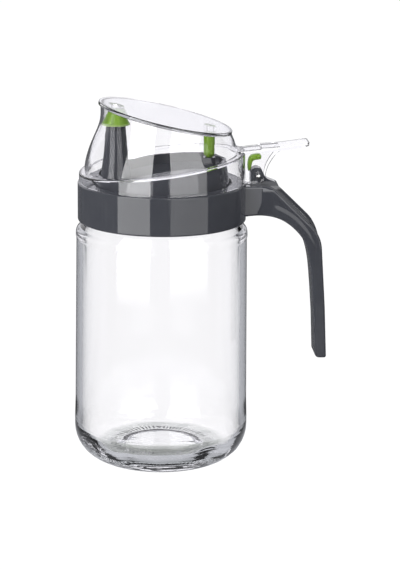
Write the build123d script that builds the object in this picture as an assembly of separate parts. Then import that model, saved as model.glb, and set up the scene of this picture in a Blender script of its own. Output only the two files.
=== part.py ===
"""Glass oil cruet with a screw collar, a side handle and a clear hinged lid.

Millimetres, +Z up. The origin is the centre of the jar's base and the handle points along +X.
A thumb on the clear lever behind the lid tips the lid up off the pouring spout.
"""

import os
from math import atan, cos, radians, sin

from build123d import *

# Glass jar: the wall narrows a little from the heel up to the shoulder
heel_top = (43.7, 18.0)
lower_band_top = 25.4
band_proud = 0.2
band_step = 0.6
panel_top = 114.4
shoulder_start = (42.75, 115.7)
shoulder_end = (41.3, 120.8)
neck_base = 124.2
neck_foot = (38.4, 122.8)
neck_radius = 37.6
neck_bore = 34.6
rim_height = 135.9
rim_outer_edge = 0.8
rim_inner_edge = 0.6
foot_ring_inner = 22.0
foot_ring_outer = 26.5
push_up = 2.2
push_up_edge = (18.0, 1.8)
glass_wall = 3.2
base_thickness = 4.8
floor_dome = 0.8
inner_heel_radius = 13.0
inner_shoulder_height = 115.3
inner_shoulder_radius = 5.0
throat_height = 119.3
throat_inset = 1.6
throat_top = 125.2

# Ring between the jar's rim and the spout insert
gasket_height = 1.4
gasket_gap = 0.05
gasket_inner = 34.4
gasket_outer = 38.0

# Screw collar
collar_radius = 41.85
collar_bore = 39.6
collar_bottom = 123.2
deck_height = 142.4
deck_thickness = 2.5
deck_opening = 34.7
collar_edge = 0.8

# Handle, in the plane through the jar's axis
handle_width = 16.0
handle_top = 140.8
handle_slope_start = 53.9
handle_knee = (79.35, 115.75)
handle_outer_bow = (81.95, 78.5)
handle_outer_bends = [10.0, 18.5, 60.0]
handle_root_bottom = 125.2
handle_inner_points = [
    (48.6, 126.0), (58.6, 123.95), (66.6, 118.2), (70.7, 112.8), (72.9, 106.6), (74.8, 94.0),
    (76.3, 75.5),
]
handle_foot = 52.4
handle_foot_outer = 83.15
handle_foot_inner = 77.35
handle_edge = 1.1
handle_foot_inner_edge = 2.4
handle_foot_outer_edge = 1.0

# Hinge
pin_x = 47.3
pin_height = 145.7
pin_radius = 1.1
pin_half_length = 6.9
pin_end_edge = 0.25
pin_press_gap = 0.01
pin_running_gap = 0.06
knuckle_half_width = 3.2
knuckle_x = 46.8
knuckle_radius = 3.1
knuckle_top = 149.9
knuckle_rear_lean = 25.0
root_sink = 2.0
ear_gap = 0.25
ear_thickness = 3.1
ear_radius = 3.6

# Hump behind the knuckle and the strap from it over the top of the handle
strap_width = 3.4
hump_start = (51.3, 144.5)
hump_points = [(53.4, 143.3), (55.4, 142.6), (57.4, 141.2)]
hump_end = (58.0, 139.7)
strap_top_points = [(63.3, 134.6), (70.9, 127.2), (74.8, 123.0), (77.2, 118.4), (78.9, 112.5)]
strap_under_points = [(57.0, 138.4), (62.2, 133.5), (69.8, 126.1), (73.9, 121.6), (75.8, 118.2)]

# Drip cup that holds the spout
cup_base_radius = 34.3
cup_rim_radius = 32.25
cup_rim_height = 149.7
cup_rim_slope = 0.1155
cup_floor_height = 144.6
cup_floor_slope = 0.14
cup_wall = 1.6
flange_radius = 38.8
flange_bottom = 137.4

# Pouring spout, outside radius at falling heights, then a straight foot in the cup's socket
spout_x = -22.9
spout_rings = [(172.7, 4.7), (163.9, 5.3), (157.8, 5.8), (150.3, 6.8), (146.0, 7.7)]
spout_foot_radius = 8.2
spout_foot_top = 144.2
spout_foot_bottom = 138.8
spout_wall = 1.4

# Vent boss in the cup
vent_x = 23.3
vent_boss_radius = 3.15
vent_boss_top = 154.4
vent_hole_radius = 0.9
vent_seat_radius = 1.93

# Clear lid
lid_gap = 0.15
lid_wall = 1.2
skirt_radius = 41.15
skirt_edge = 0.7
ledge_height = 152.5
ledge_slope = 0.133
top_height = 175.9
top_slope = -0.2235
top_wall = 1.7
plate_radius = 32.95
plate_centre = 1.75
plate_thickness = 1.8
plate_edge = 0.4
# Share of the way from the ledge up to the sloping top, radius, and where the ring's centre is.
dome_rings = [
    (0.00, 38.2, -0.15),
    (0.12, 37.75, -0.35),
    (0.25, 36.8, -0.1),
    (0.50, 34.6, 1.2),
    (0.70, 32.9, 2.0),
    (0.86, 32.3, 1.9),
    (0.96, 32.15, 1.75),
]

# Thumb lever and the ears under it
lever_width = 15.0
lever_tip = 73.2
lever_corner = 4.5
lever_root_x = 36.0
lever_root = (156.6, 158.0)
lever_step_x = 48.4
lever_before_step = (157.6, 159.25)
lever_step = 0.7
lever_grip = [(60.0, 158.95), (59.0, 160.7)]
lever_tip_heights = (160.9, 162.6)
lever_tip_edge = 0.9
ear_top = (36.5, 157.3)
ear_back = [(60.0, 159.4), (54.3, 154.7)]
ear_front_gap = 0.6

# Green silicone pieces
stopper_top = 177.4
stopper_bottom = 170.9
stopper_top_radius = 3.85
stopper_rim_radius = 7.0
stopper_ceiling = 172.85
stopper_mouth = 6.0
stopper_flare = 0.95
stopper_lip = 0.4
peg_radius = 2.0
peg_length = 2.4
boss_radius = 3.9
plug_radius = 2.74
plug_bottom = 153.85
plug_top = 165.6
plug_peg_radius = 1.3
plug_peg_length = 6.0
vent_lid_boss_radius = 3.05
silicone_gap = 0.02
spring_half_width = 2.9
spring_outline = [
    (42.4, 148.2), (42.4, 157.0), (49.2, 157.5), (49.2, 154.0), (45.4, 153.4), (44.5, 152.5),
    (44.5, 150.2), (43.4, 148.2),
]


def turned(outline):
    """Turn a closed outline, drawn as radius and height, round the vertical axis."""
    return revolve(Plane.XZ * make_face(outline), Axis.Z)


def plate_along_y(outline, low, high):
    """Extrude an outline drawn as x and height so that it fills y from low to high."""
    return extrude(Plane.XZ.offset(-high) * make_face(outline), amount=high - low)


def sloping_plane(height, slope, x=0.0):
    """The plane that passes height on the jar's axis and climbs slope per unit of x."""
    return Plane(origin=(x, 0, height + slope * x), x_dir=(1, 0, slope), z_dir=(-slope, 0, 1))


def upright(radius, low, high, x=0.0):
    """A vertical cylinder from the height low to the height high."""
    return Pos(x, 0, low) * Cylinder(radius, high - low, align=(Align.CENTER, Align.CENTER, Align.MIN))


def ring(outer, inner, low, high):
    """A flat vertical ring."""
    return upright(outer, low, high) - upright(inner, low - 1, high + 1)


def wall_radius(height):
    """Outer radius of the jar's wall, which narrows evenly from the heel to the shoulder."""
    (low_r, low_z), (high_r, high_z) = heel_top, shoulder_start
    return low_r + (high_r - low_r) * (height - low_z) / (high_z - low_z)


def jar_outside():
    """The jar's outer outline from its axis out over the heel and up to the rim."""
    panel_low = (wall_radius(lower_band_top) - band_proud, lower_band_top)
    panel_high = (wall_radius(panel_top) - band_proud, panel_top)
    band_low = (wall_radius(lower_band_top - band_step), lower_band_top - band_step)
    band_high = (wall_radius(panel_top + band_step), panel_top + band_step)
    neck_round = (neck_radius, rim_height - rim_outer_edge)
    rim_outside = (neck_radius - rim_outer_edge, rim_height)
    return [
        Line((0, push_up), push_up_edge),
        Line(push_up_edge, (foot_ring_inner, 0)),
        Line((foot_ring_inner, 0), (foot_ring_outer, 0)),
        EllipticalCenterArc((foot_ring_outer, heel_top[1]), heel_top[0] - foot_ring_outer, heel_top[1],
                            start_angle=-90, arc_size=90),
        Line(heel_top, band_low),
        Line(band_low, panel_low),
        Line(panel_low, panel_high),
        Line(panel_high, band_high),
        Line(band_high, shoulder_start),
        TangentArc(shoulder_start, shoulder_end, tangent=(0, 1)),
        Line(shoulder_end, neck_foot),
        Line(neck_foot, (neck_radius, neck_base)),
        Line((neck_radius, neck_base), neck_round),
        RadiusArc(neck_round, rim_outside, -rim_outer_edge),
        Line(rim_outside, (neck_bore + rim_inner_edge, rim_height)),
    ]


def jar_inside():
    """The jar's inner outline from its rim down to the thick base."""
    floor = push_up + base_thickness
    top = (wall_radius(inner_shoulder_height) - glass_wall, inner_shoulder_height)
    low_z = floor + inner_heel_radius
    low = (wall_radius(low_z) - glass_wall, low_z)
    throat = (top[0] - throat_inset, throat_height)
    rim_inside = (neck_bore, rim_height - rim_inner_edge)
    floor_edge = (low[0] - inner_heel_radius, floor)
    return [
        RadiusArc((neck_bore + rim_inner_edge, rim_height), rim_inside, -rim_inner_edge),
        Line(rim_inside, (neck_bore, throat_top)),
        Line((neck_bore, throat_top), throat),
        RadiusArc(throat, top, inner_shoulder_radius),
        Line(top, low),
        RadiusArc(low, floor_edge, inner_heel_radius),
        Line(floor_edge, (0, floor + floor_dome)),
        Line((0, floor + floor_dome), (0, push_up)),
    ]


def jar():
    """Straight-walled jar with a rounded heel, two plain bands, a shoulder and a neck."""
    return turned(jar_outside() + jar_inside())


def jar_gasket():
    """Flat sealing ring on the jar's rim."""
    low = rim_height + gasket_gap
    return ring(gasket_outer, gasket_inner, low, low + gasket_height)


def handle_profile():
    """Outer and inner edge of the handle: a deep root, one knee, then a long drop."""
    start = collar_bore - 1
    outer = FilletPolyline(
        (start, handle_top), (handle_slope_start, handle_top), handle_knee, handle_outer_bow,
        (handle_foot_outer, handle_foot), radius=handle_outer_bends)
    inner = Spline(
        (start, handle_root_bottom), *handle_inner_points, (handle_foot_inner, handle_foot),
        tangents=[(1, 0.1), (0.045, -1)])
    return [outer, inner, Line(outer @ 0, inner @ 0), Line(outer @ 1, inner @ 1)]


def handle():
    """The handle with its long edges and its free end rounded."""
    half = handle_width / 2
    body = plate_along_y(handle_profile(), -half, half)
    for end, edge in ((0, handle_foot_inner_edge), (-1, handle_foot_outer_edge)):
        foot = body.edges().filter_by(Axis.Y).group_by(Axis.Z)[0].sort_by(Axis.X)
        body = fillet(foot[end], edge)
    sides = [f for f in body.faces().filter_by(Plane.XZ) if abs(abs(f.center().Y) - half) < 0.01]
    rims = [e for f in sides for e in f.edges() if e.center().X > collar_bore]
    return fillet(rims, handle_edge)


def knuckle_and_strap():
    """Round-topped post between the lid's ears, its hump, and the strap over the handle."""
    arch_z = knuckle_top - knuckle_radius
    foot = handle_top - root_sink
    left = (knuckle_x - knuckle_radius, arch_z)
    lean = radians(knuckle_rear_lean)
    rear = (knuckle_x + knuckle_radius * cos(lean), arch_z + knuckle_radius * sin(lean))
    under_hump = (strap_under_points[0][0] - root_sink / 2, foot - root_sink)
    post = plate_along_y([
        Line((left[0], foot), left),
        ThreePointArc(left, (knuckle_x, knuckle_top), rear),
        Line(rear, hump_start),
        Spline(hump_start, *hump_points, hump_end, tangents=[(1, -0.6), (0.25, -1)]),
        Line(hump_end, strap_under_points[0]),
        Line(strap_under_points[0], under_hump),
        Line(under_hump, (left[0], foot)),
    ], -knuckle_half_width, knuckle_half_width)
    strap_top = Spline(hump_end, *strap_top_points, tangents=[(1, -1), (0.25, -1)])
    strap_under = Spline(*strap_under_points, tangents=[(1, -0.9), (0.5, -1)])
    strap = plate_along_y([
        strap_top, strap_under,
        Line(strap_top @ 0, strap_under @ 0), Line(strap_top @ 1, strap_under @ 1),
    ], -strap_width / 2, strap_width / 2)
    return post + strap


def collar():
    """Screw ring, deck, handle, hinge knuckle and strap, moulded in one."""
    shell = upright(collar_radius, collar_bottom, deck_height)
    shell = fillet(shell.edges().filter_by(GeomType.CIRCLE), collar_edge)
    body = shell + handle() + knuckle_and_strap()
    body -= upright(collar_bore, collar_bottom - 1, deck_height - deck_thickness)
    body -= upright(deck_opening, collar_bottom, deck_height + 1)
    bore = pin_radius + pin_running_gap
    body -= Pos(pin_x, 0, pin_height) * Rot(90, 0, 0) * Cylinder(bore, 3 * handle_width)
    return body


def cup_cone(inset, low, high):
    """Slightly tapered drum of the drip cup, made smaller by inset all round."""
    taper = (cup_base_radius - cup_rim_radius) / (cup_rim_height - flange_bottom)
    bottom = cup_base_radius - inset - taper * (low - flange_bottom)
    top = cup_base_radius - inset - taper * (high - flange_bottom)
    return Pos(0, 0, low) * Cone(bottom, top, high - low, align=(Align.CENTER, Align.CENTER, Align.MIN))


def drip_cup():
    """Cup with a tilted rim and floor, a vent boss, a socket for the spout and a flange."""
    low, high = flange_bottom, cup_rim_height + 8
    rim_plane = sloping_plane(cup_rim_height, cup_rim_slope)
    floor_plane = sloping_plane(cup_floor_height, cup_floor_slope)
    under_plane = sloping_plane(cup_floor_height - cup_wall, cup_floor_slope)
    body = split(cup_cone(0, low, high), bisect_by=rim_plane, keep=Keep.BOTTOM)
    body -= split(cup_cone(cup_wall, low, high), bisect_by=floor_plane, keep=Keep.TOP)
    body -= split(cup_cone(cup_wall, low - 1, high), bisect_by=under_plane, keep=Keep.BOTTOM)
    body += ring(flange_radius, cup_base_radius - cup_wall, low, deck_height - deck_thickness)
    boss = upright(vent_boss_radius, flange_bottom + 6, vent_boss_top, vent_x)
    body += boss - split(boss, bisect_by=under_plane, keep=Keep.BOTTOM)
    body -= upright(vent_hole_radius, flange_bottom, vent_boss_top + 1, vent_x)
    depth = vent_seat_radius - vent_hole_radius
    body -= Pos(vent_x, 0, vent_boss_top - depth / 2) * Cone(vent_hole_radius, vent_seat_radius, depth)
    return body - upright(spout_foot_radius, flange_bottom - 1, cup_floor_height + 3, spout_x)


def spout_side(inset):
    """The spout's side from its tip down: a flare, then the straight foot."""
    points = [(radius - inset, height) for height, radius in spout_rings]
    foot = spout_foot_radius - inset
    flare = Spline(*points, (foot, spout_foot_top), tangents=[(0.05, -1), (0, -1)])
    return flare, Line((foot, spout_foot_top), (foot, spout_foot_bottom))


def pouring_spout():
    """Tall flared spout standing in the drip cup's socket, narrowing to the pouring tip."""
    outer, outer_foot = spout_side(0)
    inner, inner_foot = spout_side(spout_wall)
    tip = Line(outer @ 0, inner @ 0)
    end = Line(outer_foot @ 1, inner_foot @ 1)
    return Pos(spout_x, 0, 0) * turned([outer, outer_foot, inner, inner_foot, tip, end])


def lid_ring(share, radius, centre):
    """One sloping ring of the dome, a true circle seen from straight above."""
    slope = ledge_slope + share * (top_slope - ledge_slope)
    height = ledge_height + share * (top_height - ledge_height)
    return sloping_plane(height, slope, centre) * Ellipse(radius / cos(atan(slope)), radius)


def dome(inset):
    """Loft through the dome's sloping rings, made smaller by inset."""
    return loft([lid_ring(share, radius - inset, centre) for share, radius, centre in dome_rings])


def top_plate():
    """Flat sloping top with a rounded rim that stands a little proud of the dome."""
    outline = sloping_plane(top_height, top_slope, plate_centre) * Ellipse(
        plate_radius / cos(atan(top_slope)), plate_radius)
    plate = extrude(outline, amount=-plate_thickness)
    return fillet(plate.edges(), plate_edge)


def lever():
    """Thumb lever: thin at the root, a small step up to the grip, rounded at the tip."""
    half = lever_width / 2
    root_under, root_top = lever_root
    step_under, step_top = lever_before_step
    under_grip, over_grip = lever_grip
    grip = (lever_step_x + lever_step, step_top + lever_step)
    tip_top = (lever_tip - lever_tip_edge, lever_tip_heights[1])
    tip_under = (lever_tip - lever_tip_edge, lever_tip_heights[0])
    outline = [
        Line((lever_root_x, root_top), (lever_step_x, step_top)),
        Line((lever_step_x, step_top), grip),
        Spline(grip, over_grip, tip_top),
        RadiusArc(tip_top, tip_under, lever_tip_edge),
        Spline(tip_under, under_grip, (lever_step_x, step_under)),
        Line((lever_step_x, step_under), (lever_root_x, root_under)),
        Line((lever_root_x, root_under), (lever_root_x, root_top)),
    ]
    corners = Pos(lever_root_x, 0, step_top) * Box(2 * (lever_tip - lever_root_x), lever_width, 20)
    corners = fillet(corners.edges().filter_by(Axis.Z), lever_corner)
    return plate_along_y(outline, -half, half) & corners


def ear(low, high):
    """One hinge ear: hangs from the lever, sweeps in behind and rounds off under the pin."""
    base = deck_height + lid_gap
    rear = (pin_x + ear_radius, pin_height)
    under_pin = (pin_x, pin_height - ear_radius)
    front = (collar_radius + ear_front_gap, under_pin[1])
    outline = [
        Line(ear_top, ear_back[0]),
        Spline(*ear_back, rear, tangents=[(-1, -0.25), (-0.05, -1)]),
        RadiusArc(rear, under_pin, ear_radius),
        Line(under_pin, front),
        Line(front, (collar_radius, base)),
        Line((collar_radius, base), (ear_top[0], base)),
        Line((ear_top[0], base), ear_top),
    ]
    return plate_along_y(outline, low, high)


def lid_outside():
    """Everything of the lid that is solid before it is hollowed."""
    base = deck_height + lid_gap
    ledge = sloping_plane(ledge_height, ledge_slope)
    skirt = split(upright(skirt_radius, base, base + 25), bisect_by=ledge, keep=Keep.BOTTOM)
    skirt = fillet(skirt.faces().filter_by(GeomType.PLANE).sort_by(Axis.Z)[-1].edges(), skirt_edge)
    first = knuckle_half_width + ear_gap
    ears = ear(first, first + ear_thickness) + ear(-first - ear_thickness, -first)
    return skirt + dome(0) + top_plate() + lever() + ears


def lid_inside():
    """The hollow of the lid: the skirt's bore, the way through the ledge, and the dome."""
    base = deck_height + lid_gap
    ledge = sloping_plane(ledge_height, ledge_slope)
    under_ledge = sloping_plane(ledge_height - lid_wall, ledge_slope)
    under_top = sloping_plane(top_height - top_wall, top_slope)
    bore = split(upright(skirt_radius - lid_wall, base - 1, base + 25), bisect_by=under_ledge,
                 keep=Keep.BOTTOM)
    first_share, first_radius, first_centre = dome_rings[0]
    way = split(upright(first_radius - lid_wall, base, base + 25, first_centre), bisect_by=ledge,
                keep=Keep.BOTTOM)
    return bore + way + split(dome(lid_wall), bisect_by=under_top, keep=Keep.BOTTOM)


def lid():
    """Clear lid with its lever, its ears and the two bosses that hold the silicone pieces."""
    body = lid_outside() - lid_inside()
    under_top = sloping_plane(top_height - top_wall / 2, top_slope)
    for x, radius, low, peg, length in (
        (spout_x, boss_radius, stopper_top, peg_radius, peg_length),
        (vent_x, vent_lid_boss_radius, plug_top, plug_peg_radius, plug_peg_length),
    ):
        boss = split(upright(radius, low, low + 15, x), bisect_by=under_top, keep=Keep.BOTTOM)
        body += boss + upright(peg, low - length, low + 1, x)
    bore = pin_radius + pin_press_gap
    return body - Pos(pin_x, 0, pin_height) * Rot(90, 0, 0) * Cylinder(bore, 3 * lever_width)


def spout_stopper():
    """Silicone bell: pegged to the lid above, flared inside so that it swings off the tip."""
    socket = peg_radius + silicone_gap
    socket_top = stopper_top - peg_length - silicone_gap
    lip = (stopper_rim_radius, stopper_bottom + 1.5 * stopper_lip)
    waist = (stopper_rim_radius - stopper_lip, lip[1] + stopper_lip)
    bell = turned([
        Line((0, socket_top), (socket, socket_top)),
        Line((socket, socket_top), (socket, stopper_top)),
        Line((socket, stopper_top), (stopper_top_radius, stopper_top)),
        Line((stopper_top_radius, stopper_top), waist),
        Line(waist, lip),
        Line(lip, (stopper_rim_radius, stopper_bottom)),
        Line((stopper_rim_radius, stopper_bottom), (stopper_mouth, stopper_bottom)),
        Line((stopper_mouth, stopper_bottom), (stopper_mouth - stopper_flare, stopper_ceiling)),
        Line((stopper_mouth - stopper_flare, stopper_ceiling), (0, stopper_ceiling)),
        Line((0, stopper_ceiling), (0, socket_top)),
    ])
    return Pos(spout_x, 0, 0) * bell


def vent_plug():
    """Silicone finger with a round end that sits in the vent boss."""
    socket = plug_peg_radius + silicone_gap
    socket_bottom = plug_top - plug_peg_length - silicone_gap
    shoulder = plug_bottom + plug_radius
    finger = turned([
        Line((0, socket_bottom), (socket, socket_bottom)),
        Line((socket, socket_bottom), (socket, plug_top)),
        Line((socket, plug_top), (plug_radius, plug_top)),
        Line((plug_radius, plug_top), (plug_radius, shoulder)),
        RadiusArc((plug_radius, shoulder), (0, plug_bottom), plug_radius),
        Line((0, plug_bottom), (0, socket_bottom)),
    ])
    return Pos(vent_x, 0, 0) * finger


def return_spring():
    """Silicone elbow between the back of the lid, the lever and the knuckle."""
    outline = Polyline(*spring_outline, close=True)
    return plate_along_y([outline], -spring_half_width, spring_half_width)


def hinge_pin():
    """Plain steel pin through the ears and the knuckle."""
    pin = Cylinder(pin_radius, 2 * pin_half_length)
    pin = chamfer(pin.edges().filter_by(GeomType.CIRCLE), pin_end_edge)
    return Pos(pin_x, 0, pin_height) * Rot(90, 0, 0) * pin


def write_parts():
    """Write one STEP file for each piece."""
    pieces = {
        "glass_jar": jar(),
        "jar_gasket": jar_gasket(),
        "collar": collar(),
        "drip_cup": drip_cup(),
        "pouring_spout": pouring_spout(),
        "lid": lid(),
        "spout_stopper": spout_stopper(),
        "vent_plug": vent_plug(),
        "return_spring": return_spring(),
        "hinge_pin": hinge_pin(),
    }
    os.makedirs("parts", exist_ok=True)
    for name, piece in pieces.items():
        export_step(piece, f"parts/{name}.step")


write_parts()
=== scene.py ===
"""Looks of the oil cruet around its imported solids: glass jar, dark collar with handle, clear lid.

Metres, +Z up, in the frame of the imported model. The camera looks along +Y and a little down.
"""

import math

import bpy
import numpy as np
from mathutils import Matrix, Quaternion, Vector


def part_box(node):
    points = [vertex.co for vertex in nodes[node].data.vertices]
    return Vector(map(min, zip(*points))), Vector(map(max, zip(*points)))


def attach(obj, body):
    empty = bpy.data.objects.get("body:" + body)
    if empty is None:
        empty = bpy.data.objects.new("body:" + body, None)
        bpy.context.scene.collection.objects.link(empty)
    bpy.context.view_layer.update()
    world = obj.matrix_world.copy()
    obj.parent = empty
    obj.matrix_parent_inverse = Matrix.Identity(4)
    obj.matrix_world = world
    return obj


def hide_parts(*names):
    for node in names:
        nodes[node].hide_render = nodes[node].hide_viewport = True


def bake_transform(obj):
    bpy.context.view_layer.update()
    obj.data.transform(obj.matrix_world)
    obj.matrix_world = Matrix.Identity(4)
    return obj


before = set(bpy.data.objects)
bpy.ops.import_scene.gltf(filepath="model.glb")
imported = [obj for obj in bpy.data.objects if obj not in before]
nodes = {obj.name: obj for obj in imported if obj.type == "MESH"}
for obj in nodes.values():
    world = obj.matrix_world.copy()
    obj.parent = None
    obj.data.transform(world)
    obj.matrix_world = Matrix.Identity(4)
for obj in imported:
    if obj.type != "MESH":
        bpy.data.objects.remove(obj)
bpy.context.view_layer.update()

# Glass jar
# One pressed jar of clear flint glass with a thick base, fire polished inside and out. It stands on
# a knurled ring under its heel, and its neck carries the thread for the collar.
MM = 0.001


def skin(name, grid, crease=math.radians(38)):
    """A closed smooth mesh over a grid of points, whose columns run round the piece.

    Four neighbours in the grid make a face, and triangles close the end rows onto their middles.
    """
    rows, columns = grid.shape[:2]
    index = np.arange(rows * columns).reshape(rows, columns)
    beside = np.roll(index, -1, axis=1)
    faces = np.stack([index[:-1], beside[:-1], beside[1:], index[1:]], axis=-1).reshape(-1, 4).tolist()
    ends = ((beside[0], index[0]), (index[-1], beside[-1]))
    for middle, (one, other) in enumerate(ends, start=rows * columns):
        faces += np.stack([np.full(columns, middle), one, other], axis=-1).tolist()
    points = np.concatenate([grid.reshape(-1, 3), grid[:1].mean(axis=1), grid[-1:].mean(axis=1)])
    mesh = bpy.data.meshes.new(name)
    mesh.from_pydata(points.tolist(), [], faces)
    mesh.shade_smooth()
    mesh.set_sharp_from_angle(angle=crease)
    piece = bpy.data.objects.new(name, mesh)
    bpy.context.scene.collection.objects.link(piece)
    return piece


def rounded(corners, step=math.radians(9), nearly_straight=1e-3):
    """An outline through corners (x, z, radius): straight runs joined by arcs that touch both.

    The arc's centre is on the line that halves the corner's angle, radius / sin(half the angle) away,
    and the arc touches each run radius / tan(half the angle) from the corner.
    """
    places = np.array([corner[:2] for corner in corners], float)
    outline = [places[:1]]
    for before, here, after, (_, _, radius) in zip(places, places[1:], places[2:], corners[1:]):
        back = (before - here) / np.linalg.norm(before - here)
        on = (after - here) / np.linalg.norm(after - here)
        half = math.acos(np.clip(back @ on, -1, 1)) / 2
        turn = math.pi - 2 * half
        if radius == 0 or turn < nearly_straight:
            outline.append(here[None])
            continue
        centre = here + (back + on) / np.linalg.norm(back + on) * radius / math.sin(half)
        first = here + back * radius / math.tan(half) - centre
        last = here + on * radius / math.tan(half) - centre
        share = np.linspace(0, 1, max(3, math.ceil(turn / step) + 1))[:, None]
        arc = (np.sin((1 - share) * turn) * first + np.sin(share * turn) * last) / math.sin(turn)
        outline.append(centre + arc)
    outline.append(places[-1:])
    return np.concatenate(outline)


def refined(outline, longest):
    """The same outline with points added, so that its runs are hardly longer than the given length."""
    along = np.r_[0, np.cumsum(np.linalg.norm(np.diff(outline, axis=0), axis=1))]
    more = np.unique(np.r_[along, np.linspace(0, along[-1], math.ceil(along[-1] / longest))].round(9))
    return np.stack([np.interp(more, along, outline[:, k]) for k in (0, 1)], axis=1)


def turned(name, outline, sides, shape):
    """Turn an outline (radius, height) in mm round the vertical axis: x = r cos t, y = r sin t.

    shape moves radius and height by place: it gets r, z and t as arrays.
    """
    angle = np.linspace(0, 2 * np.pi, sides, endpoint=False)[None, :]
    radius, height = shape(*(np.repeat(outline[:, [k]], sides, axis=1) for k in (0, 1)), angle)
    return skin(name, np.stack([radius * np.cos(angle), radius * np.sin(angle), height], axis=-1) * MM)


# Corners of the profile in mm: radius from the axis, height, and the radius that rounds the corner.
_, jar_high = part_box("glass_jar")
jar_radius, jar_height = jar_high[0] / MM, jar_high[2] / MM
inner_radius, neck_radius, mouth_radius = 40.45, 37.6, 34.6
push_up = [(0, 2.2, 0), (18.0, 1.9, 3)]
heel = [(22.0, 0, 0.8), (jar_radius, 0, 17.2)]
wall = [(jar_radius - 0.04, 21.5, 8.0), (jar_radius - 0.36, 31.0, 12.0), (42.55, 114.2, 0.8), (42.85, 115.3, 0.8)]
shoulder = [(42.75, 118.6, 3.5), (38.4, 122.8, 1.2)]
neck = [(neck_radius, 124.4, 1.0), (neck_radius, jar_height, 1.1), (mouth_radius, jar_height, 1.0)]
inside = [(mouth_radius, 125.0, 3.0), (39.5, 117.4, 6.0), (inner_radius, 6.6, 12.5), (0, 7.9, 0)]
jar_profile = push_up + heel + wall + shoulder + neck + inside

# Relief of the glass in mm.
thread_bottom, thread_lead, thread_turns, thread_run_in = 125.6, 6.0, 1.25, 1 / 12
thread_height, thread_width, thread_zone = 1.3, 1.0, 124.5
rib_count, rib_depth, rib_ring, rib_fade, rib_zone = 80, 0.4, (21.5, 28.5), (1.2, 1.5), 1.0
wave_depth, wave_height, wave_spread, wave_zone, wave_radius = 0.75, 11.0, 5.2, (6.0, 40.0), 24.0
sideways_share, sideways_lag, sideways_fade = 0.3, 9, 9.0


def pressed_glass(radius, height, angle):
    """The thread round the neck, ribs across the foot ring, and waves left in the inner heel.

    The thread is e to the minus square of the distance from a line that climbs by the lead each turn.
    The ribs are half of 1 - cos(count * angle), faded at both edges of the ring. The waves are a sum of
    sines of whole multiples of the angle. They lift the inner wall near the heel, fading up and down as
    e to the minus square, and a smaller copy of them, some columns on, pushes the wall inwards.
    """
    turns = angle / (2 * np.pi)
    on_neck = (radius > neck_radius - 0.1) & (height > thread_zone)
    for start in (0, 1):
        ridge = thread_bottom + thread_lead * (turns + start)
        on_thread = np.clip(np.minimum(turns + start, thread_turns - turns - start) / thread_run_in, 0, 1)
        profile = np.exp(-((height - ridge) / thread_width) ** 2)
        radius = radius + on_neck * on_thread * thread_height * profile
    inner_edge = np.clip((radius - rib_ring[0]) / rib_fade[0], 0, 1)
    outer_edge = np.clip((rib_ring[1] - radius) / rib_fade[1], 0, 1)
    on_ring = inner_edge * outer_edge * (height < rib_zone)
    height = height + on_ring * rib_depth * (0.5 - 0.5 * np.cos(rib_count * angle))
    inner_wall = (height > wave_zone[0]) & (height < wave_zone[1]) & (radius < inner_radius + 0.01)
    fade = np.exp(-((height - wave_height) / wave_spread) ** 2) * np.clip(radius / wave_radius - 0.3, 0, 1)
    wave = (0.5 * np.sin(4 * angle + 0.7) + 0.45 * np.sin(7 * angle + 2.1)
            + 0.3 * np.sin(11 * angle + 0.16 * radius) + 0.08 * np.sin(23 * angle - 1.0))
    sideways = np.roll(wave, sideways_lag, axis=-1) * np.clip((radius - wave_radius) / sideways_fade, 0, 1)
    height = height + inner_wall * fade * wave_depth * wave
    radius = radius - inner_wall * fade * wave_depth * sideways_share * sideways
    return radius, height


# The outline leaves out its two ends on the axis, because the skin closes there by itself.
longest_run, jar_sides = 1.7, 320
jar_outline = refined(rounded(jar_profile), longest_run)[1:-1]
jar = turned("jar_glass", jar_outline, jar_sides, pressed_glass)
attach(jar, "jar")
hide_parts("glass_jar")


def material(name):
    """A new empty node material, its tree and its output node."""
    made = bpy.data.materials.new(name)
    made.use_nodes = True
    made.node_tree.nodes.clear()
    return made, made.node_tree, made.node_tree.nodes.new("ShaderNodeOutputMaterial")


def feed(tree, socket, value):
    """Link another socket to a socket, or write a plain value into it."""
    if isinstance(value, bpy.types.NodeSocket):
        tree.links.new(value, socket)
    else:
        socket.default_value = value


def node(tree, kind, group=None, **values):
    """A new node with its sockets fed by name. A group node is given the group that it stands for."""
    new = tree.nodes.new(kind)
    if group is not None:
        new.node_tree = group
    for label, value in values.items():
        feed(tree, new.inputs[label.replace("_", " ")], value)
    return new


def maths(tree, operation, first, *others, clamp=False):
    """One operation on two values, and on its outcome and the next value while there are more."""
    for other in others or (0.0,):
        new = tree.nodes.new("ShaderNodeMath")
        new.operation = operation
        new.use_clamp = clamp
        feed(tree, new.inputs[0], first)
        feed(tree, new.inputs[1], other)
        first = new.outputs[0]
    return first


def between(tree, value, low, high, at_low=0.0, at_high=1.0):
    """A smooth step: at_low below low, at_high above high."""
    step = node(tree, "ShaderNodeMapRange", Value=value, From_Min=low, From_Max=high, To_Min=at_low,
                To_Max=at_high)
    step.interpolation_type = "SMOOTHSTEP"
    return step.outputs[0]


def blended(tree, share, first, second):
    """A colour between two colours."""
    mix = tree.nodes.new("ShaderNodeMix")
    mix.data_type = "RGBA"
    for number, value in ((0, share), (6, first), (7, second)):
        feed(tree, mix.inputs[number], value)
    return mix.outputs[2]


def chosen(tree, share, first, second):
    """A mix of two shaders."""
    mix = node(tree, "ShaderNodeMixShader", Fac=share)
    tree.links.new(first.outputs[0], mix.inputs[1])
    tree.links.new(second.outputs[0], mix.inputs[2])
    return mix


def bumped(tree, height):
    """A bump whose height is in metres."""
    return node(tree, "ShaderNodeBump", Strength=1.0, Distance=1.0, Height=height)


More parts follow.
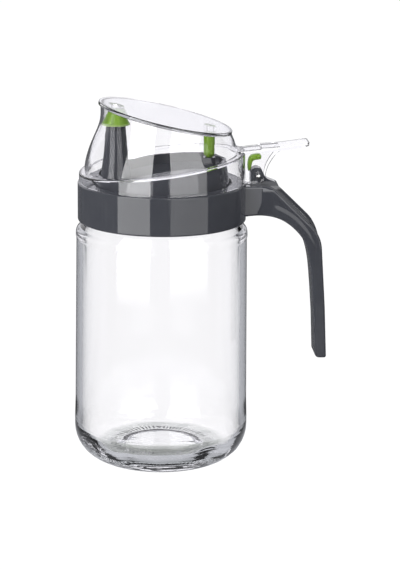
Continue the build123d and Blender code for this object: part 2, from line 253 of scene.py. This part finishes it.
def place_on(tree):
    """The place of a point in metres, in the frame of the whole cruet."""
    return tree.nodes.new("ShaderNodeTexCoord").outputs["Object"]


def xyz(tree, vector):
    """The three parts of a vector."""
    return node(tree, "ShaderNodeSeparateXYZ", Vector=vector).outputs


def length(tree, vector):
    """The length of a vector."""
    measured = tree.nodes.new("ShaderNodeVectorMath")
    measured.operation = "LENGTH"
    tree.links.new(vector, measured.inputs[0])
    return measured.outputs["Value"]


def effect(name, takes, gives):
    """An empty node group of plain values, the first input being a place: its tree and its ends."""
    tree = bpy.data.node_groups.new(name, "ShaderNodeTree")
    for label in takes:
        kind = "NodeSocketVector" if label == "Place" else "NodeSocketFloat"
        tree.interface.new_socket(label, in_out="INPUT", socket_type=kind)
    for label in gives:
        tree.interface.new_socket(label, in_out="OUTPUT", socket_type="NodeSocketFloat")
    return tree, tree.nodes.new("NodeGroupInput").outputs, tree.nodes.new("NodeGroupOutput").inputs


# What a mould leaves on every piece: a slow ripple, a fine grain, and a tone that follows the ripple.
moulded_surface, takes, gives = effect(
    "moulded_surface", ["Place", "Ripple Scale", "Ripple mm", "Grain Scale", "Grain mm"], ["Height", "Tone"])
tree = moulded_surface
ripple = node(tree, "ShaderNodeTexNoise", Vector=takes["Place"], Scale=takes["Ripple Scale"], Detail=1.5).outputs[0]
grain = node(tree, "ShaderNodeTexNoise", Vector=takes["Place"], Scale=takes["Grain Scale"], Detail=3.0).outputs[0]
relief_mm = maths(tree, "ADD", maths(tree, "MULTIPLY", ripple, takes["Ripple mm"]),
                  maths(tree, "MULTIPLY", grain, takes["Grain mm"]))
tree.links.new(maths(tree, "MULTIPLY", relief_mm, MM), gives["Height"])
tree.links.new(between(tree, ripple, 0.3, 0.7), gives["Tone"])

# What hands leave: soft smears, and fine scratches in two directions that gather in patches.
handling_marks, takes, gives = effect("handling_marks", ["Place", "Smears", "Scratches"], ["Marks", "Scratch"])
tree = handling_marks
cloud = node(tree, "ShaderNodeTexNoise", Vector=takes["Place"], Scale=34.0, Detail=4.0, Roughness=0.6).outputs[0]
smears = maths(tree, "MULTIPLY", between(tree, cloud, 0.48, 0.72), takes["Smears"])
lines = []
for turn_x, turn_z, size in ((0.3, 0.5, 900.0), (1.2, 2.1, 700.0)):
    drawn_out = node(tree, "ShaderNodeMapping", Vector=takes["Place"], Rotation=(turn_x, 0.0, turn_z),
                     Scale=(1.0, 1.0, 0.03)).outputs[0]
    streaks = node(tree, "ShaderNodeTexNoise", Vector=drawn_out, Scale=size, Detail=0.0).outputs[0]
    lines.append(between(tree, streaks, 0.70, 0.74))
patches = node(tree, "ShaderNodeTexNoise", Vector=takes["Place"], Scale=55.0, Detail=1.0).outputs[0]
scratches = maths(tree, "MULTIPLY", maths(tree, "MAXIMUM", *lines), between(tree, patches, 0.5, 0.62),
                  takes["Scratches"])
tree.links.new(maths(tree, "ADD", smears, scratches, clamp=True), gives["Marks"])
tree.links.new(scratches, gives["Scratch"])


def paint(obj, made):
    """Give the whole piece one material."""
    obj.data.materials.clear()
    obj.data.materials.append(made)


def clear_material(name, tint, edge_tint, edge_power, ior, ripple_scale):
    """Clear glass or plastic that bends light, and lets the lamps through to what is behind it.

    The tint deepens where the wall is seen edge on, as facing to the edge power. Returns the material,
    and by name its tree, its shader, the socket that carries its colour, and its bump.
    """
    made, tree, out = material(name)
    place = place_on(tree)
    surface = node(tree, "ShaderNodeGroup", moulded_surface, Place=place, Ripple_Scale=ripple_scale,
                   Ripple_mm=0.02, Grain_Scale=900.0, Grain_mm=0.0002)
    marks = node(tree, "ShaderNodeGroup", handling_marks, Place=place, Smears=0.5, Scratches=0.5)
    bump = bumped(tree, surface.outputs["Height"])
    facing = node(tree, "ShaderNodeLayerWeight", Blend=0.5).outputs["Facing"]
    duller_tint = [0.997 * part for part in tint[:3]] + [1.0]
    toned = blended(tree, surface.outputs["Tone"], tint, duller_tint)
    colour = blended(tree, maths(tree, "POWER", facing, edge_power), toned, edge_tint)
    roughness = maths(tree, "MULTIPLY", marks.outputs["Marks"], 0.03)
    body = node(tree, "ShaderNodeBsdfPrincipled", Base_Color=colour, Roughness=roughness, IOR=ior,
                Transmission_Weight=1.0, Normal=bump.outputs[0])
    passing = node(tree, "ShaderNodeBsdfTransparent", Color=(0.96, 0.96, 0.97, 1))
    path = tree.nodes.new("ShaderNodeLightPath").outputs
    lamp_ray = maths(tree, "MAXIMUM", path["Is Shadow Ray"], path["Is Diffuse Ray"])
    tree.links.new(chosen(tree, lamp_ray, body, passing).outputs[0], out.inputs["Surface"])
    return made, {"tree": tree, "body": body, "colour": colour, "bump": bump}


flint_glass, made_of = clear_material(
    "flint_glass", tint=(0.985, 0.982, 0.992, 1), edge_tint=(0.24, 0.26, 0.26, 1), edge_power=6.0, ior=1.5,
    ripple_scale=60.0)
# The foot is painted darker than the glass above it: painted shade where the glass stands on the table.
foot_shade_colour, foot_shade_low, foot_shade_high, foot_shade_share = (0.42, 0.45, 0.43, 1), 0.6 * MM, 3.0 * MM, 0.75
tree = made_of["tree"]
# Painted shade: the glass colour darkens towards the bottom of the foot.
foot = between(tree, xyz(tree, place_on(tree))[2], foot_shade_low, foot_shade_high, foot_shade_share, 0.0)
tree.links.new(blended(tree, foot, made_of["colour"], foot_shade_colour), made_of["body"].inputs["Base Color"])
paint(jar, flint_glass)

# Jar gasket
# A flat die-cut ring of white silicone rubber between the jar's rim and the flange of the drip cup.
# It is held by the screw collar alone.
def moulded_material(name, colour, faded, roughness, ripple=(90.0, 0.006), grain=(2400.0, 0.0006),
                     marks=(0.5, 0.6)):
    """Opaque moulded plastic or rubber: mottled between two colours, with ripple, grain and rub marks.

    ripple and grain are (scale, height in mm), and marks are (smears, scratches). Returns the material,
    and by name its tree, its shader, the socket that carries its colour, and its bump.
    """
    made, tree, out = material(name)
    place = place_on(tree)
    surface = node(tree, "ShaderNodeGroup", moulded_surface, Place=place, Ripple_Scale=ripple[0],
                   Ripple_mm=ripple[1], Grain_Scale=grain[0], Grain_mm=grain[1])
    rubbed = node(tree, "ShaderNodeGroup", handling_marks, Place=place, Smears=marks[0], Scratches=marks[1])
    toned = blended(tree, maths(tree, "MULTIPLY", surface.outputs["Tone"], 0.35), colour, faded)
    worn = blended(tree, maths(tree, "MULTIPLY", rubbed.outputs["Scratch"], 0.5), toned, faded)
    dulled = maths(tree, "MULTIPLY", rubbed.outputs["Marks"], 0.16)
    bump = bumped(tree, surface.outputs["Height"])
    body = node(tree, "ShaderNodeBsdfPrincipled", Base_Color=worn, Roughness=maths(tree, "ADD", dulled, roughness),
                IOR=1.5, Normal=bump.outputs[0])
    tree.links.new(body.outputs[0], out.inputs["Surface"])
    return made, {"tree": tree, "body": body, "colour": worn, "bump": bump}


white_silicone, _ = moulded_material(
    "white_silicone", (0.80, 0.80, 0.785, 1), (0.70, 0.69, 0.66, 1), 0.45, grain=(1800.0, 0.003), marks=(0.8, 0.0))
paint(nodes["jar_gasket"], white_silicone)

# Collar and handle
# One moulding of glossy slate-grey plastic: the screw ring, the deck, the handle, the hinge knuckle and
# the narrow strap that runs from the knuckle down to the knee of the handle.
slate_colours = ((0.066, 0.069, 0.081, 1), (0.090, 0.094, 0.105, 1))
slate_plastic, made_of = moulded_material(
    "slate_plastic", *slate_colours, 0.04, ripple=(60.0, 0.010), marks=(0.35, 0.5))
tree = made_of["tree"]
x, _, z = xyz(tree, place_on(tree))
out_mm, up_mm = maths(tree, "DIVIDE", x, MM), maths(tree, "DIVIDE", z, MM)

# The faces lean with the draft of the mould: a height in mm that grows with z turns what they mirror.
# On the handle they lean outside its root line: the distance out, plus the square of the depth below
# the root times the bulge.
root_height, root_bulge, root_line = 136.2, 0.028, (49.1, 49.5)
draft_from, draft_to, draft_slope, draft_end = 131.5, 138.0, 0.095, (138.4, 140.4)
knuckle_height, knuckle_slope = 142.5, 0.12
below_root = maths(tree, "MAXIMUM", maths(tree, "SUBTRACT", root_height, up_mm), 0.0)
bulge = maths(tree, "MULTIPLY", maths(tree, "POWER", below_root, 2.0), root_bulge)
on_handle = between(tree, maths(tree, "ADD", out_mm, bulge), *root_line)
rise = maths(tree, "SUBTRACT", maths(tree, "MINIMUM", up_mm, draft_to), draft_from)
draft = maths(tree, "MULTIPLY", rise, draft_slope, on_handle, between(tree, up_mm, *draft_end, 1.0, 0.0))
above_knuckle = maths(tree, "MAXIMUM", maths(tree, "SUBTRACT", up_mm, knuckle_height), 0.0)
knuckle = maths(tree, "MULTIPLY", above_knuckle, knuckle_slope)

# A soft crease follows the bend of the handle along the strap's foot: a step across an arc.
crease_centre, crease_radius, crease_half_width, crease_depth = (44.2, 98.7), 34.0, 1.2, 0.25
crease_out, crease_up = (54.5, 58.0), (104.0, 114.0)
from_centre = length(tree, node(
    tree, "ShaderNodeCombineXYZ", X=maths(tree, "SUBTRACT", out_mm, crease_centre[0]),
    Z=maths(tree, "SUBTRACT", up_mm, crease_centre[1])).outputs[0])
step_down = between(tree, maths(tree, "SUBTRACT", from_centre, crease_radius), -crease_half_width,
                    crease_half_width, 0.0, -crease_depth)
crease = maths(tree, "MULTIPLY", step_down, between(tree, out_mm, *crease_out), between(tree, up_mm, *crease_up))
lean = bumped(tree, maths(tree, "MULTIPLY", maths(tree, "ADD", draft, knuckle, crease), MM))
tree.links.new(lean.outputs[0], made_of["bump"].inputs["Normal"])
paint(nodes["collar"], slate_plastic)

# Drip cup
# A separate dark insert that drops into the collar. It catches what runs down the spout, and its floor
# slopes so that the oil flows back through the vent hole.
cup_plastic, _ = moulded_material("drip_cup_plastic", *slate_colours, 0.06, ripple=(75.0, 0.012), marks=(0.5, 0.3))
paint(nodes["drip_cup"], cup_plastic)

# Pouring spout
# A tapered tube of the same slate plastic, moulded on a steel core and pressed into the socket of the
# drip cup.
spout_plastic, _ = moulded_material("spout_plastic", *slate_colours, 0.06, marks=(0.5, 0.3))
paint(nodes["pouring_spout"], spout_plastic)

# Lid
# One clear hard-plastic moulding: skirt, tilted ledge, dome, sloping top, thumb lever, hinge ears and
# the two bosses that hold the silicone stoppers. It snaps over the hinge pin.
clear_plastic, made_of = clear_material(
    "clear_plastic", tint=(0.985, 0.982, 0.995, 1), edge_tint=(0.28, 0.27, 0.36, 1), edge_power=8.0, ior=1.49,
    ripple_scale=50.0)
# The ears lean with the mould's draft, as the collar does.
ears_from, ears_middle, ears_slope = (0.036, 0.042), 0.150, 0.15
tree = made_of["tree"]
x, _, z = xyz(tree, place_on(tree))
draft = maths(tree, "MULTIPLY", maths(tree, "SUBTRACT", z, ears_middle), ears_slope, between(tree, x, *ears_from))
tree.links.new(bumped(tree, draft).outputs[0], made_of["bump"].inputs["Normal"])
paint(nodes["lid"], clear_plastic)

# Spout stopper and vent plug
# Two soft caps of green silicone on pegs under the lid: the bell closes the spout, the finger the vent.
# The bell's thin lip is painted paler: painted light for the light that it lets through.
green_colours = ((0.185, 0.37, 0.003, 1), (0.24, 0.43, 0.010, 1))
green_finish = {"roughness": 0.32, "ripple": (120.0, 0.01), "grain": (1600.0, 0.004), "marks": (0.7, 0.0)}
lip_light_colour, lip_depth = (0.50, 0.66, 0.26, 1), 1.2 * MM
green_silicone, _ = moulded_material("green_silicone", *green_colours, **green_finish)
stopper_silicone, made_of = moulded_material("stopper_silicone", *green_colours, **green_finish)
tree = made_of["tree"]
# Painted light: the bottom of the bell is painted paler, for the light through its thin lip.
lip_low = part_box("spout_stopper")[0][2]
in_lit_lip = between(tree, xyz(tree, place_on(tree))[2], lip_low, lip_low + lip_depth, 1.0, 0.0)
tree.links.new(blended(tree, in_lit_lip, made_of["colour"], lip_light_colour), made_of["body"].inputs["Base Color"])
paint(nodes["spout_stopper"], stopper_silicone)
paint(nodes["vent_plug"], green_silicone)

# Return spring
# A bent tab of the same green silicone between the lever and the knuckle. On the cruet it folds when the lid swings
# up and pushes it shut again; here it is one fixed shape.
def swept(name, path, thick, half_width, fullness=4.0, sides=32, rows=40):
    """A band carried along a path in the plane y = 0, in mm, closed to a point at both ends.

    Across the path the section is a superellipse: |a / thick| and |y / half_width| to the power of
    fullness add up to one. thick and half_width are given at each point of the path. The path is
    smoothed by giving each point a quarter of both its neighbours, three times.
    """
    along = np.linspace(0, 1, len(path))
    t = 0.5 - 0.5 * np.cos(np.pi * np.linspace(0, 1, rows))
    spine = np.stack([np.interp(t, along, np.array(path)[:, k]) for k in (0, 1)], axis=1)
    for _ in range(3):
        spine[1:-1] = 0.25 * spine[:-2] + 0.5 * spine[1:-1] + 0.25 * spine[2:]
    ahead = np.gradient(spine, axis=0)
    ahead /= np.linalg.norm(ahead, axis=1, keepdims=True)
    across = np.stack([-ahead[:, 1], ahead[:, 0]], axis=1)
    ends = (1 - np.abs(2 * t - 1) ** 14) ** 0.5
    turn = np.linspace(0, 2 * np.pi, sides, endpoint=False)
    bulge = np.sign(np.cos(turn)) * np.abs(np.cos(turn)) ** (2 / fullness)
    spread = np.sign(np.sin(turn)) * np.abs(np.sin(turn)) ** (2 / fullness)
    a = (np.interp(t, along, thick) * ends)[:, None] * bulge
    y = (np.interp(t, along, half_width) * (0.6 + 0.4 * ends))[:, None] * spread
    grid = np.stack([spine[:, :1] + across[:, :1] * a, y, spine[:, 1:] + across[:, 1:] * a], axis=-1)
    return skin(name, grid * MM)


spring_path = [
    (42.85, 147.9), (43.3, 149.8), (43.45, 151.6), (43.8, 153.4), (44.9, 154.6), (46.8, 155.0), (49.1, 155.1)]
spring_thick = [0.4, 0.9, 1.0, 1.15, 1.4, 1.45, 1.45]
spring_half_width = [2.2, 2.8, 2.9, 2.9, 2.9, 2.9, 2.9]
spring = swept("return_spring_tab", spring_path, spring_thick, spring_half_width)
paint(spring, green_silicone)
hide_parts("return_spring")
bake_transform(spring)

# Hinge pin
# A plain turned steel pin, pressed into the lid's ears and running free in the knuckle.
# Its ends are slightly domed and carry the fine rings that the cutting tool leaves.
pin_steel, tree, out = material("pin_steel")
pin_middle = np.mean(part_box("hinge_pin"), axis=0)
ring_scale, ring_depth, end_dome = 9000.0, 0.01 * MM, -300.0
place = place_on(tree)
centred = node(tree, "ShaderNodeMapping", Vector=place, Location=[-float(part) for part in pin_middle])
x, y, z = xyz(tree, centred.outputs[0])
from_axis = length(tree, node(tree, "ShaderNodeCombineXYZ", X=x, Z=z).outputs[0])
rings = tree.nodes.new("ShaderNodeTexNoise")
rings.noise_dimensions = "1D"
rings.inputs["Scale"].default_value = ring_scale
tree.links.new(maths(tree, "ADD", from_axis, y), rings.inputs["W"])
marks = node(tree, "ShaderNodeGroup", handling_marks, Place=place, Smears=0.6, Scratches=0.6)
dome = maths(tree, "MULTIPLY", maths(tree, "POWER", from_axis, 2.0), end_dome)
turning = bumped(tree, maths(tree, "ADD", dome, maths(tree, "MULTIPLY", rings.outputs[0], ring_depth)))
steel_body = node(
    tree, "ShaderNodeBsdfPrincipled", Metallic=1.0, Normal=turning.outputs[0],
    Base_Color=blended(tree, rings.outputs[0], (0.50, 0.50, 0.50, 1), (0.66, 0.65, 0.64, 1)),
    Roughness=maths(tree, "ADD", maths(tree, "MULTIPLY", marks.outputs["Marks"], 0.2), 0.22))
tree.links.new(steel_body.outputs[0], out.inputs["Surface"])
paint(nodes["hinge_pin"], pin_steel)

# Floor
# A plain pale table top. The camera sees it as white, and it keeps the soft shadow of the cruet.
# Through glass it is a white star with grey gaps, and mirrors see it dim.
def flat_disc(name, radius, sides=96):
    """A flat round face: points at equal angles on a circle, and one polygon."""
    angle = np.linspace(0, 2 * np.pi, sides, endpoint=False)
    points = np.stack([radius * np.cos(angle), radius * np.sin(angle), 0 * angle], axis=1)
    mesh = bpy.data.meshes.new(name)
    mesh.from_pydata(points.tolist(), [], [list(range(sides))])
    disc = bpy.data.objects.new(name, mesh)
    bpy.context.scene.collection.objects.link(disc)
    return disc


floor_radius = 6.0
floor = flat_disc("floor", floor_radius)
pale_table, tree, out = material("pale_table")
studio_turn = math.radians(-4.0)
turn = node(tree, "ShaderNodeMapping", Vector=place_on(tree), Rotation=(0, 0, -studio_turn))
turn.vector_type = "POINT"
across, away, _ = xyz(tree, turn.outputs[0])
reach = length(tree, turn.outputs[0])
path = tree.nodes.new("ShaderNodeLightPath").outputs

# Through glass: a white star of eight arms round the cruet. Beyond an arm is where the distance from
# the nearest of four lines, less the arm's spread times the distance from the cruet, is past the edge.
arm_spread, arm_edge, off_arm = 0.22, (0.05, 0.08), 0.12
slant = maths(tree, "MULTIPLY", maths(tree, "ADD", across, away), math.sqrt(0.5))
other_slant = maths(tree, "MULTIPLY", maths(tree, "SUBTRACT", across, away), math.sqrt(0.5))
nearest = maths(tree, "MINIMUM", *(maths(tree, "ABSOLUTE", line) for line in (across, away, slant, other_slant)))
beyond_arm = maths(tree, "SUBTRACT", nearest, maths(tree, "MULTIPLY", reach, arm_spread))
star = between(tree, beyond_arm, *arm_edge, 1.0, off_arm)

# Under the front of the base, what the glass shows is shaded and slightly green.
base_edge, shade_front, shade_level, shade_colour = (0.028, 0.040), (-0.016, 0.006), 0.3, (0.93, 1.0, 0.90, 1)
star_level = 1.12
off_base = between(tree, reach, *base_edge)
unshaded = maths(tree, "MAXIMUM", off_base, between(tree, away, *shade_front, shade_level, 1.0))
through_glass = node(
    tree, "ShaderNodeEmission", Color=blended(tree, unshaded, shade_colour, (1, 1, 1, 1)),
    Strength=maths(tree, "MULTIPLY", star, unshaded, star_level))

# In mirrors: dim, lighter close round the jar's foot, and lighter behind it for what is seen in glass.
# Each level is (from, to, strength at from, strength at to).
back_level, far_level, near_level = (0.0, 0.06, 0.0, 0.6), (0.6, 1.0, 1.0, 0.3), (0.055, 0.10, 0.62, 0.12)
behind = maths(tree, "MULTIPLY", between(tree, away, *back_level), between(tree, reach, *far_level),
               maths(tree, "MINIMUM", path["Transmission Depth"], 1.0))
in_mirror = node(tree, "ShaderNodeEmission", Color=(0.92, 0.94, 1.0, 1),
                 Strength=maths(tree, "MAXIMUM", behind, between(tree, reach, *near_level)))

# To the camera: mostly a white glow, with a share of the lit floor that carries the shadow.
glow_share = 0.9
lit = node(tree, "ShaderNodeBsdfDiffuse", Color=(0.86, 0.86, 0.87, 1))
glow = node(tree, "ShaderNodeEmission", Color=(1, 1, 1, 1), Strength=1.1)
seen = chosen(tree, glow_share, lit, glow)
seen = chosen(tree, path["Is Transmission Ray"], seen, through_glass)
seen = chosen(tree, maths(tree, "MINIMUM", path["Glossy Depth"], 1.0), seen, in_mirror)
seen = chosen(tree, maths(tree, "MAXIMUM", path["Is Diffuse Ray"], path["Is Shadow Ray"]), seen, lit)
tree.links.new(seen.outputs[0], out.inputs["Surface"])
paint(floor, pale_table)

# Studio
# White cards round the cruet that only mirrored light sees: two stand upright and two lie on the floor.
# A pale room and two soft lamps light the rest.
def card(name, inner, outer, left, right, strength, high_strength, steps=24, brighter=(0.06, 0.26),
         fade_height=0.022, fade_to=0.15):
    """A curved white card: points x = r sin a, y = -r cos a on two circles, a from left to right.

    The azimuths are in degrees, and inner and outer are (radius, height) of its two long edges. Its
    strength grows over the heights of brighter, and it fades close to the floor.
    """
    angle = np.radians(np.linspace(left, right, steps))
    ring = np.stack([np.sin(angle), -np.cos(angle)], axis=1)
    points = np.concatenate([np.c_[ring * radius, np.full(steps, height)] for radius, height in (inner, outer)])
    faces = [[i, i + 1, steps + i + 1, steps + i] for i in range(steps - 1)]
    mesh = bpy.data.meshes.new(name)
    mesh.from_pydata(points.tolist(), [], faces)
    made_card = bpy.data.objects.new(name, mesh)
    bpy.context.scene.collection.objects.link(made_card)
    made, tree, out = material(name)
    height = xyz(tree, place_on(tree))[2]
    level = between(tree, height, *brighter, strength, high_strength)
    soft_edge = between(tree, height, 0.0, fade_height, fade_to, 1.0)
    glow = node(tree, "ShaderNodeEmission", Color=(1, 1, 1, 1), Strength=maths(tree, "MULTIPLY", level, soft_edge))
    nothing = node(tree, "ShaderNodeBsdfTransparent", Color=(1, 1, 1, 1))
    path = tree.nodes.new("ShaderNodeLightPath").outputs
    seen = chosen(tree, maths(tree, "MINIMUM", path["Glossy Depth"], 1.0), nothing, glow)
    tree.links.new(seen.outputs[0], out.inputs["Surface"])
    paint(made_card, made)
    made_card.visible_camera = False
    made_card.visible_diffuse = False
    made_card.visible_shadow = False


card("left_card", (0.40, 0.0), (0.40, 0.7), -62, -18, 4.0, 5.5)
card("right_card", (0.40, 0.0), (0.40, 0.7), 8, 59, 1.85, 3.9)
card("left_floor_card", (0.13, 0.001), (0.20, 0.001), -56, -22, 2.6, 2.6)
card("right_floor_card", (0.13, 0.001), (0.20, 0.001), 10, 46, 2.6, 2.6)

# The room is white to the camera, and to glass too but for its ceiling. Mirrors see it dim but for its
# back wall, and it lights the cruet from the left.
world = bpy.data.worlds.new("studio")
bpy.context.scene.world = world
world.use_nodes = True
tree = world.node_tree
tree.nodes.clear()
out = tree.nodes.new("ShaderNodeOutputWorld")
path = tree.nodes.new("ShaderNodeLightPath").outputs
sideways, backwards, rise = xyz(tree, tree.nodes.new("ShaderNodeTexCoord").outputs["Generated"])
white_back = node(tree, "ShaderNodeBackground", Color=(1, 1, 1, 1), Strength=1.0)
behind_glass, in_mirror, lighting = (
    node(tree, "ShaderNodeBackground", Color=colour, Strength=between(tree, direction, *strengths))
    for colour, direction, strengths in (
        ((0.96, 0.97, 1.0, 1), rise, (0.3, 0.75, 1.0, 0.35)),
        ((0.96, 0.955, 1.0, 1), backwards, (0.3, 0.75, 0.18, 1.1)),
        ((0.95, 0.96, 1.0, 1), sideways, (-0.8, 0.8, 0.5, 0.15)),
    ))
seen = chosen(tree, path["Is Camera Ray"], behind_glass, white_back)
seen = chosen(tree, maths(tree, "MINIMUM", path["Glossy Depth"], 1.0), seen, in_mirror)
seen = chosen(tree, path["Is Diffuse Ray"], seen, lighting)
tree.links.new(seen.outputs[0], out.inputs["Surface"])


def softbox(name, place, aim, size, watts):
    """A square area lamp at a place, turned to aim at a point."""
    lamp = bpy.data.lights.new(name, "AREA")
    lamp.shape = "SQUARE"
    lamp.size = size
    lamp.energy = watts
    box = bpy.data.objects.new(name, lamp)
    bpy.context.scene.collection.objects.link(box)
    box.location = place
    box.rotation_mode = "QUATERNION"
    box.rotation_quaternion = (Vector(aim) - Vector(place)).to_track_quat("-Z", "Y")


middle = (0.02, 0, 0.09)
softbox("key_softbox", (-0.9, -1.0, 1.3), middle, 0.9, 18)
softbox("fill_softbox", (1.1, -0.6, 1.1), middle, 0.9, 3)

# Camera
# It stands in front of the cruet and looks a little down, with the handle turned slightly away.
camera_azimuth = math.radians(-4.0)
camera_elevation = math.radians(14.25)
camera_distance = 1.0966
camera_aim = Vector((0.0194, 0.0, 0.0889))
camera_roll = math.radians(0.55)
focal_length = 137.7

camera = bpy.data.objects.new("camera", bpy.data.cameras.new("camera"))
bpy.context.scene.collection.objects.link(camera)
camera.data.lens = focal_length
back = Vector((
    math.sin(camera_azimuth) * math.cos(camera_elevation),
    -math.cos(camera_azimuth) * math.cos(camera_elevation),
    math.sin(camera_elevation),
))
camera.location = camera_aim + camera_distance * back
camera.rotation_mode = "QUATERNION"
camera.rotation_quaternion = back.to_track_quat("Z", "Y") @ Quaternion((0, 0, 1), camera_roll)
bpy.context.scene.camera = camera
bpy.context.scene.view_settings.view_transform = "Standard"
